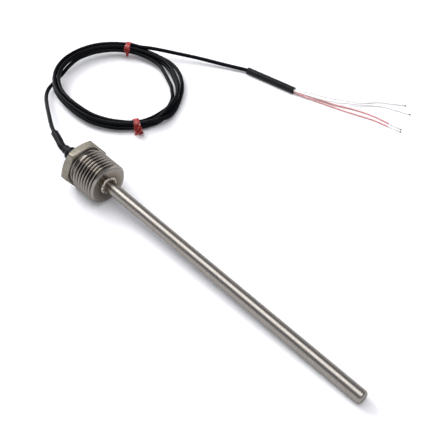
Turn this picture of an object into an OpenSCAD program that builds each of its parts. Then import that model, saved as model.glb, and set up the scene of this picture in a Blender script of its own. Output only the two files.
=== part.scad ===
// Four-wire resistance temperature probe with a threaded hexagon head, a rear cable
// and a coil of that cable held by two twist ties. Millimetres, +Z up. The probe lies on
// the plane z = 0, on its foremost thread crest and its tip, with +X towards the tip.
// Sizes along the probe are measured from the front face of the threaded head.

/* [Sheath] */
// Length of the sheath in front of the head
sheath_len = 150; // [80:5:300]
// Outside diameter of the sheath
sheath_d = 6; // [5.6:0.1:8]
// Wall of the sheath
sheath_wall = 0.5; // [0.3:0.05:0.7]
// Thickness of the closed tip
tip_wall = 1.4; // [1:0.1:2.5]
// Radius of the edge round the tip
tip_round = 1.6; // [0.5:0.1:2.2]
// Length of sheath that stands out behind the hexagon
stub_len = 8; // [6:0.5:12]

/* [Head] */
// Width across the flats of the hexagon
hex_flats = 22; // [22:0.5:30]
// Thickness of the hexagon
hex_thick = 4.8; // [4:0.2:10]
// Depth of the rear chamfer, measured at the corners
hex_chamfer = 1; // [0.4:0.1:1.6]
// Diameter over the thread crests
thread_d = 20.8; // [18:0.1:21]
// Distance from one thread crest to the next
thread_pitch = 1.814; // [1:0.05:2]
// Number of turns of the thread
thread_turns = 7; // [4:1:8]
// Width of the plain groove behind the thread
relief_w = 1.6; // [1:0.1:3]
// Length of the bevelled lead in front of the thread
lead_len = 1.2; // [0.8:0.1:3]
// Depth of the bevelled lead
lead_drop = 1.1; // [0.4:0.1:2]
// Reach of the weld round the sheath
weld_w = 1.2; // [0.6:0.1:2]
// Depth to which the weld is fused into the sheath and the head
weld_root = 0.25; // [0.1:0.05:0.25]

/* [Rear boot] */
// Wall of the boot over the end of the sheath
boot_wall = 0.5; // [0.4:0.05:1]
// Length of the boot behind the end of the sheath
boot_taper = 4; // [3:0.5:8]
// Wall of the shrunk sleeve on the cable
sleeve_wall = 0.8; // [0.5:0.05:1]
// Length of the sealing resin in the end of the sheath
seal_len = 10; // [8:0.5:14]

/* [Cable] */
// Diameter of the cable
cable_d = 2.1; // [2:0.05:2.4]
// Width of the coil's bundle
bundle_w = 7; // [6:0.2:9]
// Height of the coil's bundle
bundle_h = 4.8; // [4:0.2:6]
// Rounding of the bundle's section
bundle_round = 2; // [1:0.1:2.4]
// Middle radius of the coil's round ends
coil_r = 28.6; // [24:0.1:34]
// Distance between the centres of the coil's round ends
coil_long = 14; // [8:0.5:20]
// Slope of the coil, which is higher over the incoming cable
coil_tilt = 2.5; // [0:0.1:4]
// Turn of the coil about the vertical
coil_turn = 5; // [0:0.5:8]
// Width of a twist tie
tie_w = 3; // [1.5:0.1:4]
// Thickness of a twist tie
tie_t = 0.7; // [0.4:0.05:1]
// Outside diameter of the sleeve over the cable's end
junction_d = 3.8; // [3.4:0.1:5]
// Length of the sleeve over the cable's end
junction_len = 31; // [25:1:40]

/* [Wires] */
// Diameter of an insulated wire
wire_d = 0.8; // [0.6:0.05:0.82]
// Diameter of a bare conductor
bare_d = 0.5; // [0.3:0.05:0.6]
// Diameter of the tinned bead on a conductor
bead_d = 0.8; // [0.6:0.05:0.8]

/* [Sensor] */
// Width of the sensing chip
chip_w = 2; // [1.2:0.1:2.4]
// Length of the sensing chip
chip_len = 4; // [2:0.5:5]
// Thickness of the sensing chip
chip_t = 0.9; // [0.6:0.05:1.2]
// Length of the chip's two leads
lead_reach = 9; // [7:0.5:12]
// Diameter of a chip lead
lead_d = 0.3; // [0.2:0.05:0.5]
// Diameter of a splice
splice_d = 1.2; // [1:0.05:1.3]
// Length of a splice
splice_len = 5; // [3:0.5:8]
// Wall of the insulating tube round the chip
guard_wall = 0.5; // [0.3:0.05:0.7]
// Gap for heat paste between the insulating tube and the sheath
paste_gap = 0.2; // [0.1:0.05:0.3]

/* [Hidden] */
$fn = 96;

sheath_r = sheath_d / 2;
bore_r = sheath_r - sheath_wall;
hex_corner_r = hex_flats / 2 / cos(30);
crest_r = thread_d / 2;
root_r = crest_r - 0.64 * thread_pitch;
flank = thread_pitch / 3;
crest = (thread_pitch - 2 * flank) / 2;
thread_len = thread_turns * thread_pitch + crest + flank;
shoulder_z = -(lead_len + thread_len + relief_w);
back_z = shoulder_z - hex_thick;
stub_z = back_z - stub_len;
boot_z = stub_z - boot_taper;
seal_z = stub_z + seal_len;
jacket_z = stub_z + seal_len / 2;
cable_r = cable_d / 2;
sleeve_r = cable_r + sleeve_wall;
boot_r = sheath_r + boot_wall;
boot_end_r = sleeve_r + boot_wall;

// How the probe lies: whichever stands out more, the hexagon's front edge or the first
// crest, carries the head, and the tip carries the other end.
tip_rest_z = sheath_len - tip_round;
crest_z = -lead_len;
rest_slope = max(
    (hex_flats / 2 - sheath_r) / (tip_rest_z - shoulder_z),
    (crest_r - sheath_r) / (tip_rest_z - crest_z)
);
tilt = atan(rest_slope);
axis_h = tip_rest_z * sin(tilt) + (sheath_r - tip_round) * cos(tilt) + tip_round;
probe_front = sheath_len * cos(tilt) + (sheath_r - tip_round) * sin(tilt);
probe_back = boot_z * cos(tilt) - boot_end_r * sin(tilt);
head_x = -(probe_front + probe_back) / 2;

// The sensor, from the closed tip backwards
tip_z = sheath_len - tip_wall;
guard_r = bore_r - paste_gap;
guard_front = tip_z - 1;
chip_front = guard_front - 0.6;
chip_back = chip_front - chip_len;
splice_front = chip_back - lead_reach;
splice_back = splice_front - splice_len;
fill_back = chip_back - 2;
guard_back = splice_back - 3;
pair_x = 0.62;
lay = 0.42;

// The coil stands on the lower tie at one end and lies over the incoming cable at the other
coil_centre = [-120.4, 56.3];
coil_end = coil_r + bundle_w / 2;
upper_tie_angle = 111;
lower_tie_angle = -35;
tie_reach = coil_long / 2 + (coil_end + tie_t) * cos(lower_tie_angle);
coil_lift = tie_reach * sin(coil_tilt) + (bundle_h / 2 + tie_t) * cos(coil_tilt);

// The sleeve over the cable's end lies on the floor
junction_start = [-79.5, 118.5, junction_d / 2];
junction_turn = 8.5;
cable_in_junction = 18;

// Routes, from the head outwards
cable_start = [for (z = [jacket_z, stub_z, boot_z, boot_z - 1.5]) on_axis(z)];
sleeve_route = [[-98.2, 1.9, 12.1], [-101.3, 2.5, 12], [-104.4, 3.4, 11.9]];
lead_route = [
    [-109.3, 5.2, 11.4], [-114.5, 7.3, 10.7], [-120.6, 10.2, 9.5], [-127, 13.7, 7.9],
    [-133.4, 17.8, 6.1], [-139, 22.1, 4.5], [-143.2, 26.2, 3.4], [-145.8, 29.8, 2.8],
    [-147.5, 33.2, 2.6], [-149.6, 37.2, 2.8], [-150.7, 41, 3.2]
];
run_route = [
    [-140.8, 82.9, 6.4], [-136, 86.3, 6.4], [-131, 89.8, 6.2], [-126, 93.2, 5.7],
    [-121, 96.6, 5], [-116, 99.8, 4.4], [-111, 103, 3.8], [-106, 105.9, 3.3],
    [-100.5, 108.8, 2.8], [-95, 111.5, 2.4], [-89.5, 114.2, 2.1], [-84.3, 116.6, 1.95]
];
red_a_route = [
    [-44.3, 124.7, 1.3], [-39.8, 126.4, 1.1], [-34.5, 128, 0.9], [-28.3, 129.6, 0.8],
    [-23.3, 131.7, 0.7], [-18.3, 134.1, 0.5], [-12.5, 136.2, 0.4], [-5, 138, 0.4],
    [4, 138.8, 0.4]
];
red_b_route = [
    [-43.4, 123.6, 1.3], [-38.9, 125, 0.9], [-33.4, 126.5, 0.6], [-27.5, 128, 0.45],
    [-21.9, 129.6, 0.4], [-16.1, 131.3, 0.4], [-10.7, 133.1, 0.4], [-3, 135.4, 0.4],
    [5, 136.6, 0.4]
];
white_a_route = [
    [-44.8, 125.2, 2.4], [-40.3, 127.4, 2.5], [-35.3, 129.4, 2.3], [-30.4, 131.9, 2],
    [-26, 134.9, 1.6], [-21.5, 138.1, 1.2], [-17.2, 141.4, 0.8], [-14, 145.3, 0.5],
    [-10.5, 149.4, 0.4], [-4.4, 153.4, 0.4]
];
white_b_route = [
    [-43.6, 124.2, 2.3], [-39, 125.6, 2.3], [-32.8, 127.8, 2.3], [-26.4, 131.1, 2.1],
    [-20.2, 136.2, 1.5], [-15.8, 140.1, 1], [-11.2, 144.6, 0.6], [-6.2, 148.2, 0.4],
    [0.8, 150.6, 0.4]
];
bare_len = 8;

// Points and directions

function on_axis(z) = [head_x + z * cos(tilt), 0, axis_h - z * sin(tilt)];
function in_junction(along, aside = 0, up = 0) = junction_start + [
    along * cos(junction_turn) - aside * sin(junction_turn),
    along * sin(junction_turn) + aside * cos(junction_turn),
    up
];
function unit(v) = v / norm(v);
function heading(path, i) =
    unit(path[min(i + 1, len(path) - 1)] - path[max(i - 1, 0)]);
function ring(centre, along, r, sides) =
    let (side = unit(cross([0, 0, 1], along)), top = cross(along, side))
    [for (k = [0:sides - 1]) let (a = 360 * k / sides)
        centre + r * (cos(a) * side + sin(a) * top)];
function wire_path(route, aside, up) = concat(
    [in_junction(cable_in_junction, aside, up), in_junction(junction_len, aside, up)],
    route
);

cable_path = concat(cable_start, sleeve_route, lead_route);
sleeve_path = concat([for (z = [stub_z, boot_z, boot_z - 1.5]) on_axis(z)], sleeve_route);
run_path = concat(run_route, [in_junction(0), in_junction(cable_in_junction)]);
red_a_path = wire_path(red_a_route, lay, -lay);
red_b_path = wire_path(red_b_route, -lay, -lay);
white_a_path = wire_path(white_a_route, lay, lay);
white_b_path = wire_path(white_b_route, -lay, lay);

// Shared shapes

// Places what is drawn along +Z, with z = 0 at the head's front face, where the probe lies
module lie() {
    translate([head_x, 0, axis_h]) rotate([0, 90 + tilt, 0]) children();
}

// A round tube swept along a path
module sweep(path, r, sides = 8) {
    rings = len(path);
    points = [for (i = [0:rings - 1]) each ring(path[i], heading(path, i), r, sides)];
    walls = [for (i = [0:rings - 2], k = [0:sides - 1])
        let (a = i * sides + k, b = i * sides + (k + 1) % sides)
        each [[a, b + sides, b], [a, a + sides, b + sides]]];
    first = [for (k = [0:sides - 1]) k];
    last = [for (k = [sides - 1:-1:0]) (rings - 1) * sides + k];
    polyhedron(points, concat(walls, [first, last]));
}

// Turns what is drawn along +Z so that it leaves the end of a path
module leave(path) {
    end = path[len(path) - 1];
    dir = heading(path, len(path) - 1);
    turn = atan2(dir.y, dir.x);
    fall = acos(dir.z);
    translate(end) rotate([0, fall, turn]) children();
}

// A plain rod along the probe's axis
module rod(z0, z1, r, x = 0, y = 0) {
    translate([x, y, z0]) cylinder(h = z1 - z0, r = r);
}

// The outline of the coil's bundle, grown by a tie's thickness for the tie
module bundle_section(grow = 0) {
    w = bundle_w + 2 * grow;
    h = bundle_h + 2 * grow;
    r = bundle_round + grow;
    square([w - 2 * r, h], center = true);
    square([w, h - 2 * r], center = true);
    for (x = [-1, 1], y = [-1, 1])
        translate([x * (w / 2 - r), y * (h / 2 - r)]) circle(r);
}

// Places what is drawn round the coil's own centre
module coil_place() {
    translate([coil_centre.x, coil_centre.y, coil_lift])
        rotate([0, 0, coil_turn]) rotate([0, coil_tilt, 0]) children();
}

// Head

module thread_outline() {
    grooves = [for (i = [0:thread_turns - 1])
        let (z = -lead_len - i * thread_pitch)
        each [
            [crest_r, z - crest], [root_r, z - crest - flank],
            [root_r, z - 2 * crest - flank], [crest_r, z - thread_pitch]
        ]];
    polygon(concat(
        [[sheath_r, 0], [crest_r - lead_drop, 0], [crest_r, -lead_len]],
        grooves,
        [
            [crest_r, -lead_len - thread_len + flank], [root_r, -lead_len - thread_len],
            [root_r, back_z], [sheath_r, back_z]
        ]
    ));
}

module hex_head() {
    color([0.62, 0.59, 0.56]) lie() {
        rotate_extrude() difference() {
            thread_outline();
            weld_outline();
        }
        difference() {
            intersection() {
                translate([0, 0, back_z]) rotate(30)
                    cylinder(h = hex_thick, r = hex_corner_r, $fn = 6);
                rotate_extrude() polygon([
                    [0, back_z], [hex_corner_r - 2 * hex_chamfer, back_z],
                    [hex_corner_r, back_z + hex_chamfer], [hex_corner_r, shoulder_z],
                    [0, shoulder_z]
                ]);
            }
            rod(back_z - 1, shoulder_z + 1, sheath_r);
        }
    }
}

module weld_outline() {
    intersection() {
        translate([sheath_r + 0.1, 0]) circle(weld_w);
        translate([sheath_r - weld_root, -weld_root]) square(2 * weld_w);
    }
}

module weld_bead() {
    color([0.8, 0.76, 0.72]) lie() rotate_extrude() weld_outline();
}

// Sheath

module sheath_outline() {
    straight = sheath_len - tip_round - stub_z;
    translate([0, stub_z]) square([sheath_r, straight]);
    translate([0, stub_z]) square([sheath_r - tip_round, straight + tip_round]);
    intersection() {
        translate([sheath_r - tip_round, tip_rest_z]) circle(tip_round);
        translate([0, tip_z - tip_round]) square(2 * sheath_r);
    }
}

module sheath_tube() {
    color([0.66, 0.63, 0.6]) lie() rotate_extrude() difference() {
        sheath_outline();
        weld_outline();
        translate([0, stub_z - 1]) square([bore_r, tip_z - stub_z + 1]);
    }
}

module end_boot() {
    color([0.09, 0.09, 0.1]) lie() rotate_extrude() polygon([
        [sheath_r, back_z], [boot_r, back_z], [boot_r, stub_z - 0.5],
        [boot_end_r, boot_z], [sleeve_r, boot_z], [sleeve_r, stub_z], [sheath_r, stub_z]
    ]);
}

module resin_seal() {
    color([0.2, 0.18, 0.16]) lie() difference() {
        rod(stub_z, seal_z, bore_r);
        rod(stub_z - 1, jacket_z, cable_r);
        for (x = [-lay, lay], y = [-lay, lay]) rod(jacket_z - 1, seal_z + 1, wire_d / 2, x, y);
    }
}

// Sensor

module chip_shape() {
    translate([-chip_w / 2, -chip_t / 2, chip_back]) cube([chip_w, chip_t, chip_len]);
}

module lead_shape() {
    for (x = [-pair_x, pair_x]) rod(splice_front, chip_back, lead_d / 2, x);
}

module sensing_chip() {
    color([0.93, 0.92, 0.88]) lie() chip_shape();
}

module chip_leads() {
    color([0.78, 0.78, 0.8]) lie() lead_shape();
}

module powder_fill() {
    color([0.9, 0.88, 0.84]) lie() difference() {
        rod(fill_back, guard_front, guard_r - guard_wall);
        chip_shape();
        lead_shape();
    }
}

module guard_tube() {
    color([0.85, 0.62, 0.3]) lie() difference() {
        rod(guard_back, guard_front, guard_r);
        rod(guard_back - 1, guard_front + 1, guard_r - guard_wall);
    }
}

module heat_paste() {
    color([0.95, 0.95, 0.95]) lie() difference() {
        rod(guard_back, tip_z, bore_r);
        rod(guard_back - 1, guard_front, guard_r);
    }
}

module splice(x) {
    lie() rod(splice_back, splice_front, splice_d / 2, x);
}

module splice_red() {
    color([0.75, 0.74, 0.72]) splice(pair_x);
}

module splice_white() {
    color([0.75, 0.74, 0.72]) splice(-pair_x);
}

module core(x, y) {
    lie() rod(jacket_z, splice_back, wire_d / 2, x, y);
}

module core_red_a() {
    color([0.8, 0.15, 0.12]) core(lay, lay);
}

module core_red_b() {
    color([0.8, 0.15, 0.12]) core(lay, -lay);
}

module core_white_a() {
    color([0.93, 0.93, 0.92]) core(-lay, lay);
}

module core_white_b() {
    color([0.93, 0.93, 0.92]) core(-lay, -lay);
}

// Cable

module strain_sleeve() {
    color([0.1, 0.1, 0.11]) difference() {
        sweep(sleeve_path, sleeve_r, 12);
        sweep(cable_path, cable_r);
    }
}

module cable_lead() {
    color([0.05, 0.05, 0.06]) difference() {
        sweep(cable_path, cable_r);
        coil_solid();
    }
}

module cable_run() {
    color([0.05, 0.05, 0.06]) difference() {
        sweep(run_path, cable_r);
        coil_solid();
    }
}

module coil_solid() {
    coil_place() for (side = [-1, 1]) {
        translate([side * coil_long / 2, 0, 0]) rotate(side * 90 - 180)
            rotate_extrude(angle = 180) translate([coil_r, 0]) bundle_section();
        translate([-coil_long / 2, side * coil_r, 0]) rotate([90, 0, 90])
            linear_extrude(coil_long) bundle_section();
    }
}

module cable_coil() {
    color([0.05, 0.05, 0.06]) coil_solid();
}

// A twist tie round the bundle, at an angle round one of the coil's ends, with its ends
// twisted together on the outside of the coil (facing = 1) or on the inside (facing = -1)
module tie(side, angle, facing) {
    spread = tie_w / coil_r * 180 / PI;
    coil_place() translate([side * coil_long / 2, 0, 0]) {
        rotate(angle - spread / 2) rotate_extrude(angle = spread)
            translate([coil_r, 0]) difference() {
                bundle_section(tie_t);
                bundle_section();
            }
        rotate(angle) translate([coil_r + facing * (bundle_w / 2 + tie_t), 0, 0])
            rotate(90 - facing * 90) twist();
    }
}

// The twisted ends of a tie, standing out from its band
module twist() {
    translate([-tie_t / 2, 0, 0]) rotate([0, 90, 0]) cylinder(h = 3 * tie_t, r = 1.5 * tie_t);
    translate([2.5 * tie_t, 0, 0]) sphere(1.5 * tie_t);
}

module tie_upper() {
    color([0.78, 0.2, 0.17]) tie(-1, upper_tie_angle, -1);
}

module tie_lower() {
    color([0.78, 0.2, 0.17]) tie(1, lower_tie_angle, 1);
}

module junction_sleeve() {
    edge = junction_d / 8;
    color([0.1, 0.1, 0.11]) translate(junction_start)
        rotate([0, 90, junction_turn]) rotate_extrude() polygon([
            [cable_r, 0], [junction_d / 2 - edge, 0], [junction_d / 2, edge],
            [junction_d / 2, junction_len - edge], [junction_d / 2 - edge, junction_len],
            [cable_r, junction_len]
        ]);
}

// Wires beyond the cable

module wire_red_a() {
    color([0.86, 0.25, 0.24]) sweep(red_a_path, wire_d / 2);
}

module wire_red_b() {
    color([0.86, 0.25, 0.24]) sweep(red_b_path, wire_d / 2);
}

module wire_white_a() {
    color([0.93, 0.93, 0.92]) sweep(white_a_path, wire_d / 2);
}

module wire_white_b() {
    color([0.93, 0.93, 0.92]) sweep(white_b_path, wire_d / 2);
}

// A bare conductor with a tinned bead at its end
module bare_end(path) {
    color([0.7, 0.7, 0.7]) leave(path) {
        cylinder(h = bare_len, r = bare_d / 2);
        translate([0, 0, bare_len]) sphere(bead_d / 2);
    }
}

module bare_red_a() {
    bare_end(red_a_path);
}

module bare_red_b() {
    bare_end(red_b_path);
}

module bare_white_a() {
    bare_end(white_a_path);
}

module bare_white_b() {
    bare_end(white_b_path);
}

hex_head();
sheath_tube();
weld_bead();
end_boot();
resin_seal();
sensing_chip();
chip_leads();
powder_fill();
guard_tube();
heat_paste();
splice_red();
splice_white();
core_red_a();
core_red_b();
core_white_a();
core_white_b();
strain_sleeve();
cable_lead();
cable_coil();
cable_run();
tie_upper();
tie_lower();
junction_sleeve();
wire_red_a();
wire_red_b();
wire_white_a();
wire_white_b();
bare_red_a();
bare_red_b();
bare_white_a();
bare_white_b();
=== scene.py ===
import math
import random

import bpy
from mathutils import Matrix, Vector


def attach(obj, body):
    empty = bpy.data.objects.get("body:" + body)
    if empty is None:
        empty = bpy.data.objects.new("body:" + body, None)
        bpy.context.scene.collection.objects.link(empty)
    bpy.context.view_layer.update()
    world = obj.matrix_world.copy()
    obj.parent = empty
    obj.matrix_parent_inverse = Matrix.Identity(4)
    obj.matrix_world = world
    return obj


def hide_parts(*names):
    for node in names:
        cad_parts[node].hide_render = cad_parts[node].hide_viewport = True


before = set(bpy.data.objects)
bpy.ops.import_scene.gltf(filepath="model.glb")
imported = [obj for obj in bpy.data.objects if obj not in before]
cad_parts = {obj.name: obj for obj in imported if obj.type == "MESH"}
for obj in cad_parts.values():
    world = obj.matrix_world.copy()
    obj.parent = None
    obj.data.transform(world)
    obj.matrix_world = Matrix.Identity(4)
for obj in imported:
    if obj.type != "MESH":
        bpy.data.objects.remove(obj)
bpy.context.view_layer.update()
bpy.ops.object.select_all(action="DESELECT")
mm = 0.001

# How the probe lies: its own axis runs along local +Z, with zero at the head's front face
probe = {
    "headX": -58.3027, "axisHeight": 10.33, "tiltDeg": 2.8318,
    "sheathRadius": 3.0, "sheathLength": 150.0, "tipRound": 1.6, "sheathWall": 0.5, "tipWall": 1.4,
    "shoulder": -16.405, "back": -21.205, "stubEnd": -29.205, "bootEnd": -33.205,
}
probeTurn = Matrix.Rotation(math.radians(90 + probe["tiltDeg"]), 4, "Y")
probePlace = Matrix.Translation((probe["headX"] * mm, 0, probe["axisHeight"] * mm)) @ probeTurn


def onAxis(z):
    return probePlace @ Vector((0, 0, z * mm))


# Small tools for the modelling below
def active(obj):
    bpy.ops.object.select_all(action="DESELECT")
    obj.select_set(True)
    bpy.context.view_layer.objects.active = obj


def editAll(obj):
    active(obj)
    bpy.ops.object.mode_set(mode="EDIT")
    bpy.ops.mesh.select_mode(type="VERT")
    bpy.ops.mesh.select_all(action="SELECT")


def endEdit():
    bpy.ops.object.mode_set(mode="OBJECT")


def editChosen(obj, kind, chosen):
    # opens edit mode with only those vertices, edges or faces selected that pass a test
    editAll(obj)
    bpy.ops.mesh.select_mode(type=kind)
    bpy.ops.mesh.select_all(action="DESELECT")
    endEdit()
    mesh = obj.data
    for part in {"VERT": mesh.vertices, "EDGE": mesh.edges, "FACE": mesh.polygons}[kind]:
        part.select = chosen(part)
    bpy.ops.object.mode_set(mode="EDIT")


def extrudeBy(step):
    bpy.ops.mesh.extrude_region_move(TRANSFORM_OT_translate={"value": step})


def drawOutline(name, points):
    # a chain of edges through the points, left open in edit mode
    bpy.ops.mesh.primitive_plane_add(size=mm)
    obj = bpy.context.object
    obj.name = name
    editAll(obj)
    bpy.ops.mesh.merge(type="CENTER")
    bpy.ops.transform.translate(value=points[0])
    for here, there in zip(points, points[1:]):
        extrudeBy(there - here)
    return obj


def applyAll(obj):
    active(obj)
    for modifier in list(obj.modifiers):
        bpy.ops.object.modifier_apply(modifier=modifier.name)


def applyPlace(obj):
    active(obj)
    bpy.ops.object.transform_apply(location=True, rotation=True, scale=True)


def tidyMesh(obj, distance=0.000004):
    editAll(obj)
    bpy.ops.mesh.remove_doubles(threshold=distance)
    bpy.ops.mesh.normals_make_consistent(inside=False)
    endEdit()


def smooth(obj, angle):
    active(obj)
    bpy.ops.object.shade_smooth_by_angle(angle=math.radians(angle))


def layOnAxis(obj):
    active(obj)
    obj.matrix_world = probePlace @ obj.matrix_world
    applyPlace(obj)


def turned(name, profile, steps=128):
    # spins a closed or open profile of (radius, z) points round the local axis
    obj = drawOutline(name, [Vector((radius * mm, 0, z * mm)) for radius, z in profile])
    bpy.ops.mesh.select_all(action="SELECT")
    bpy.ops.mesh.spin(steps=steps, angle=math.tau, center=(0, 0, 0), axis=(0, 0, 1))
    endEdit()
    tidyMesh(obj, 0.000002)
    return obj


def screwed(obj, pitch, turns, steps):
    screw = obj.modifiers.new("helix", "SCREW")
    screw.axis = "Z"
    screw.angle = math.tau
    screw.screw_offset = pitch * mm
    screw.iterations = turns
    screw.steps = screw.render_steps = steps
    applyAll(obj)


def thicken(obj, thickness, offset):
    solid = obj.modifiers.new("thickness", "SOLIDIFY")
    solid.thickness = thickness * mm
    solid.offset = offset


def deform(obj, method, value):
    change = obj.modifiers.new(method.lower(), "SIMPLE_DEFORM")
    change.deform_method = method
    change.deform_axis = "X"
    if method == "TWIST":
        change.angle = math.radians(value)
    else:
        change.factor = value


def boolean(obj, other, operation):
    cut = obj.modifiers.new(operation.lower(), "BOOLEAN")
    cut.operation = operation
    cut.object = other
    cut.solver = "EXACT"
    active(obj)
    bpy.ops.object.modifier_apply(modifier=cut.name)
    bpy.data.objects.remove(other, do_unlink=True)


def joined(name, parts, into):
    bpy.ops.object.select_all(action="DESELECT")
    for part in parts:
        part.select_set(True)
    bpy.context.view_layer.objects.active = into
    bpy.ops.object.join()
    into.name = name
    return into


def dress(obj, *materials):
    obj.data.materials.clear()
    for material in materials:
        obj.data.materials.append(material)


def finishPiece(obj, slot, *nodes):
    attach(obj, "root")
    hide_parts(*nodes)


def openCurve(name, points, radius, sides, resolution):
    data = bpy.data.curves.new(name, "CURVE")
    data.dimensions = "3D"
    data.resolution_u = resolution
    data.render_resolution_u = resolution
    data.bevel_depth = radius
    data.bevel_resolution = sides
    data.use_fill_caps = True
    spline = data.splines.new("BEZIER")
    spline.bezier_points.add(len(points) - 1)
    for bezier, point in zip(spline.bezier_points, points):
        bezier.co = point
        bezier.handle_left_type = bezier.handle_right_type = "AUTO"
    obj = bpy.data.objects.new(name, data)
    bpy.context.collection.objects.link(obj)
    return obj


# Shader groups, built once and placed in each material with their own values
def startGroup(name, values, outputs):
    # a group that takes a vector and some plain values, and gives plain values
    tree = bpy.data.node_groups.new(name, "ShaderNodeTree")
    tree.interface.new_socket("Vector", in_out="INPUT", socket_type="NodeSocketVector")
    for label, value in values.items():
        socket = tree.interface.new_socket(label, in_out="INPUT", socket_type="NodeSocketFloat")
        socket.default_value = value
    for label in outputs:
        tree.interface.new_socket(label, in_out="OUTPUT", socket_type="NodeSocketFloat")
    return tree, tree.nodes.new("NodeGroupInput").outputs, tree.nodes.new("NodeGroupOutput").inputs


def addNode(tree, kind, links=None, **settings):
    node = tree.nodes.new(kind)
    for key, value in settings.items():
        setattr(node, key, value)
    for key, value in (links or {}).items():
        if isinstance(value, bpy.types.NodeSocket):
            tree.links.new(value, node.inputs[key])
        else:
            node.inputs[key].default_value = value
    return node


def mathNode(tree, operation, *values):
    return addNode(tree, "ShaderNodeMath", dict(enumerate(values)), operation=operation).outputs[0]


def rangeNode(tree, value, low, high, toLow=0.0, toHigh=1.0):
    return addNode(tree, "ShaderNodeMapRange", {
        "Value": value, "From Min": low, "From Max": high, "To Min": toLow, "To Max": toHigh}).outputs[0]


def mixColour(tree, factor, first, second):
    return addNode(tree, "ShaderNodeMix", {0: factor, 6: first, 7: second}, data_type="RGBA").outputs[2]


def noiseNode(tree, vector, scale, detail, roughness):
    return addNode(tree, "ShaderNodeTexNoise", {
        "Vector": vector, "Scale": scale, "Detail": detail, "Roughness": roughness}).outputs["Fac"]


def makeTurnedMarks():
    # fine rings left by a lathe tool, which follow the distance from the axis and along it
    tree, start, end = startGroup("turnedMarks", {"Fineness": 6000.0}, ["Height", "Shade", "Radius", "Along"])
    x, y, z = addNode(tree, "ShaderNodeSeparateXYZ", {0: start["Vector"]}).outputs
    radius = mathNode(tree, "SQRT", mathNode(tree, "ADD",
        mathNode(tree, "MULTIPLY", x, x), mathNode(tree, "MULTIPLY", y, y)))
    rings = addNode(tree, "ShaderNodeCombineXYZ", {
        0: mathNode(tree, "MULTIPLY", radius, start["Fineness"]),
        1: mathNode(tree, "MULTIPLY", z, start["Fineness"]),
        2: mathNode(tree, "MULTIPLY", mathNode(tree, "ARCTAN2", y, x), 0.7)}).outputs[0]
    tree.links.new(noiseNode(tree, rings, 1.0, 4.0, 0.7), end["Height"])
    tree.links.new(noiseNode(tree, rings, 0.13, 2.0, 0.5), end["Shade"])
    tree.links.new(radius, end["Radius"])
    tree.links.new(z, end["Along"])
    return tree


def makeHandling():
    # cloudy patches and small specks from handling
    tree, start, end = startGroup("handling", {"Patch size": 250.0, "Speck size": 2500.0},
        ["Patches", "Specks"])
    cloud = noiseNode(tree, start["Vector"], start["Patch size"], 5.0, 0.6)
    tree.links.new(rangeNode(tree, cloud, 0.35, 0.68), end["Patches"])
    grain = noiseNode(tree, start["Vector"], start["Speck size"], 2.0, 0.5)
    tree.links.new(rangeNode(tree, grain, 0.62, 0.72), end["Specks"])
    return tree


def makeGrain():
    # fine bumps of moulded, extruded or shrunk plastic
    tree, start, end = startGroup("plasticGrain", {
        "Grain size": 3000.0, "Wave size": 260.0, "Wave share": 0.6}, ["Height", "Tone"])
    fine = noiseNode(tree, start["Vector"], start["Grain size"], 3.0, 0.6)
    wave = noiseNode(tree, start["Vector"], start["Wave size"], 3.0, 0.5)
    waves = mathNode(tree, "MULTIPLY", wave, start["Wave share"])
    tree.links.new(mathNode(tree, "ADD", fine, waves), end["Height"])
    tree.links.new(wave, end["Tone"])
    return tree


turnedMarks = makeTurnedMarks()
handling = makeHandling()
plasticGrain = makeGrain()
finishes = {}


steel = {
    "bright": (0.325, 0.303, 0.278, 1), "dull": (0.245, 0.226, 0.202, 1),
    "flat": (0.34, 0.314, 0.268, 1), "flatDull": (0.17, 0.153, 0.122, 1),
    # the residue colour is painted shade in the roots of the thread, with some cutting residue
    "rootShadeAndResidue": (0.07, 0.055, 0.043, 1), "straw": (0.26, 0.205, 0.145, 1),
    "brown": (0.12, 0.097, 0.08, 1), "weldBright": (0.46, 0.43, 0.385, 1),
    "edge": (0.62, 0.60, 0.57, 1),
}
metal = {"Metallic": 1.0, "Specular Tint": steel["edge"]}

# Where heat stains and the painted shade in the thread roots begin and end, in metres along the probe or out
# from its axis, and how strong they are
stainsAndShade = {
    "sheathStraw": (0.005, 0.001, 0.0, 0.35), "sheathBrown": (0.0016, 0.0008, 0.0, 0.35),
    "threadRoot": (0.01036, 0.0096, 0.0, 0.88),
    "threadFront": (-0.0012, -0.0016), "threadBack": (-0.0148, -0.0138),
    "frontFace": (-0.0009, -0.0001), "faceBrown": (0.0084, 0.0046, 0.2, 0.95),
    "faceStraw": (0.0093, 0.007, 0.0, 0.25), "faceStrawInside": (0.0045, 0.0065),
}


def newMaterial(name, values):
    finishes[name] = bpy.data.materials.new(name)
    finishes[name].use_nodes = True
    tree = finishes[name].node_tree
    shader = tree.nodes["Principled BSDF"]
    for key, value in values.items():
        shader.inputs[key].default_value = value
    return tree, shader


def objectVector(tree):
    return addNode(tree, "ShaderNodeTexCoord").outputs["Object"]


def probeVector(tree):
    # the piece's own coordinates, turned and moved so that z runs along the probe
    mapping = addNode(tree, "ShaderNodeMapping", {
        "Vector": objectVector(tree),
        "Location": (probe["headX"] * mm, 0.0, probe["axisHeight"] * mm),
        "Rotation": (0.0, math.radians(90 + probe["tiltDeg"]), 0.0)}, vector_type="TEXTURE")
    return mapping.outputs[0]


def marksOn(tree, fineness):
    links = {"Vector": probeVector(tree), "Fineness": fineness}
    return addNode(tree, "ShaderNodeGroup", links, node_tree=turnedMarks).outputs


def wearOn(tree, patch, speck=2500.0):
    links = {"Vector": objectVector(tree), "Patch size": patch, "Speck size": speck}
    return addNode(tree, "ShaderNodeGroup", links, node_tree=handling).outputs


def grainOn(tree, grain, wave):
    links = {"Vector": objectVector(tree), "Grain size": grain, "Wave size": wave}
    return addNode(tree, "ShaderNodeGroup", links, node_tree=plasticGrain).outputs


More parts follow.
